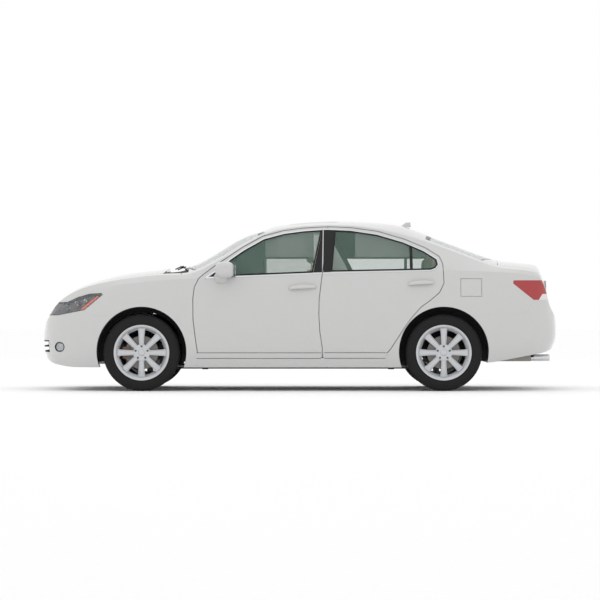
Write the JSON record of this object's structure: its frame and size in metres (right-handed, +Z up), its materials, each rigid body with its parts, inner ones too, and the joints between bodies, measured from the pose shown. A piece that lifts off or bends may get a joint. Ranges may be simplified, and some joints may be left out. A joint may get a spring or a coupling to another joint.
{
  "type": "four-door sedan car",
  "caption": "White sedan car with opening doors, hood, trunk lid and fuel flap, steered front wheels and a hollow cabin with seats.",
  "frame": {"origin": "on the ground under the middle of the car", "axes": "nose towards -X, left side towards -Y, +Z up"},
  "size_m": [4.65, 2.0532, 1.5366],
  "materials": {
    "white_paint": "gloss white enamel under clear coat",
    "black_plastic": "grained moulded plastic",
    "tinted_glass": "green tinted safety glass",
    "dark_glass": "dark tinted glass",
    "beige_leather": "grained leather with stitched seams",
    "headlight_lens": "clear lens over a silvered reflector",
    "tail_light_lens": "ribbed red lens",
    "cast_engine": "as cast",
    "chassis_steel": "black primer with rust bloom",
    "exhaust_steel": "dull heat-stained steel",
    "underbody_coating": "rough rubberised underseal",
    "tyre": "matt rubber",
    "alloy_wheel": "silver lacquered cast alloy"
  },
  "bodies": {
    "root": {"underbody": "underbody_coating", "trunk_pan": "underbody_coating", "cowl": "black_plastic", "body_side_left": "white_paint", "body_side_right": "white_paint", "roof": "white_paint", "sunroof_glass": "dark_glass", "fender_left": "white_paint", "fender_right": "white_paint", "front_bumper": "white_paint", "rear_bumper": "white_paint", "grille": "black_plastic", "headlights": "headlight_lens", "tail_lights": "tail_light_lens", "windshield": "tinted_glass", "rear_window": "tinted_glass", "engine": "cast_engine", "dashboard": "black_plastic", "front_seats": "beige_leather", "rear_seat": "beige_leather", "rear_shelf": "black_plastic", "exhaust": "exhaust_steel", "front_subframe": "chassis_steel", "rear_axle": "chassis_steel"},
    "knuckle_left": {"knuckle_left": "chassis_steel"},
    "knuckle_right": {"knuckle_right": "chassis_steel"},
    "hood": {"hood": "white_paint"},
    "trunk_lid": {"trunk_lid": "white_paint"},
    "fuel_flap": {"fuel_flap": "white_paint"},
    "steering_wheel": {"steering_wheel": "black_plastic"},
    "wheel_front_left": {"tyre_front_left": "tyre", "wheel_front_left": "alloy_wheel"},
    "door_front_left": {"door_front_left": "white_paint", "glass_front_left": "tinted_glass"},
    "wheel_front_right": {"tyre_front_right": "tyre", "wheel_front_right": "alloy_wheel"},
    "door_front_right": {"door_front_right": "white_paint", "glass_front_right": "tinted_glass"},
    "wheel_rear_left": {"tyre_rear_left": "tyre", "wheel_rear_left": "alloy_wheel"},
    "door_rear_left": {"door_rear_left": "white_paint", "glass_rear_left": "tinted_glass"},
    "wheel_rear_right": {"tyre_rear_right": "tyre", "wheel_rear_right": "alloy_wheel"},
    "door_rear_right": {"door_rear_right": "white_paint", "glass_rear_right": "tinted_glass"}
  },
  "joints": [
    {"name": "steer_left", "type": "hinge", "parent": "root", "child": "knuckle_left", "pos_m": [-1.414, -0.735, 0.343], "axis": [0, 0, 1], "range_deg": [-35, 35]},
    {"name": "steer_right", "type": "hinge", "parent": "root", "child": "knuckle_right", "pos_m": [-1.414, 0.735, 0.343], "axis": [0, 0, 1], "range_deg": [-35, 35]},
    {"name": "steering_wheel_turn", "type": "hinge", "parent": "root", "child": "steering_wheel", "pos_m": [-0.45, -0.37, 0.998], "axis": [0.9063, 0, 0.4226], "range_deg": [-540, 540]},
    {"name": "wheel_front_left_spin", "type": "hinge", "parent": "knuckle_left", "child": "wheel_front_left", "pos_m": [-1.414, -0.765, 0.343], "axis": [0, 1, 0], "continuous": true},
    {"name": "wheel_rear_left_spin", "type": "hinge", "parent": "root", "child": "wheel_rear_left", "pos_m": [1.287, -0.765, 0.343], "axis": [0, 1, 0], "continuous": true},
    {"name": "door_front_left_swing", "type": "hinge", "parent": "root", "child": "door_front_left", "pos_m": [-0.952, -0.8975, 0.65], "axis": [0, 0, -1], "range_deg": [0, 68]},
    {"name": "door_rear_left_swing", "type": "hinge", "parent": "root", "child": "door_rear_left", "pos_m": [0.173, -0.8975, 0.65], "axis": [0, 0, -1], "range_deg": [0, 68]},
    {"name": "wheel_front_right_spin", "type": "hinge", "parent": "knuckle_right", "child": "wheel_front_right", "pos_m": [-1.414, 0.765, 0.343], "axis": [0, 1, 0], "continuous": true},
    {"name": "wheel_rear_right_spin", "type": "hinge", "parent": "root", "child": "wheel_rear_right", "pos_m": [1.287, 0.765, 0.343], "axis": [0, 1, 0], "continuous": true},
    {"name": "door_front_right_swing", "type": "hinge", "parent": "root", "child": "door_front_right", "pos_m": [-0.952, 0.8975, 0.65], "axis": [0, 0, 1], "range_deg": [0, 68]},
    {"name": "door_rear_right_swing", "type": "hinge", "parent": "root", "child": "door_rear_right", "pos_m": [0.173, 0.8975, 0.65], "axis": [0, 0, 1], "range_deg": [0, 68]},
    {"name": "hood_lift", "type": "hinge", "parent": "root", "child": "hood", "pos_m": [-1.15, 0, 1.03], "axis": [0, 1, 0], "range_deg": [0, 50]},
    {"name": "trunk_lift", "type": "hinge", "parent": "root", "child": "trunk_lid", "pos_m": [1.65, 0, 1.135], "axis": [0, -1, 0], "range_deg": [0, 70]},
    {"name": "fuel_flap_swing", "type": "hinge", "parent": "root", "child": "fuel_flap", "pos_m": [1.441, -0.886, 0.925], "axis": [0, 0, -1], "range_deg": [0, 85]}
  ],
  "couplings": [
    {"joint": "steer_right", "follows": "steer_left", "ratio": 1},
    {"joint": "steering_wheel_turn", "follows": "steer_left", "ratio": 15}
  ]
}
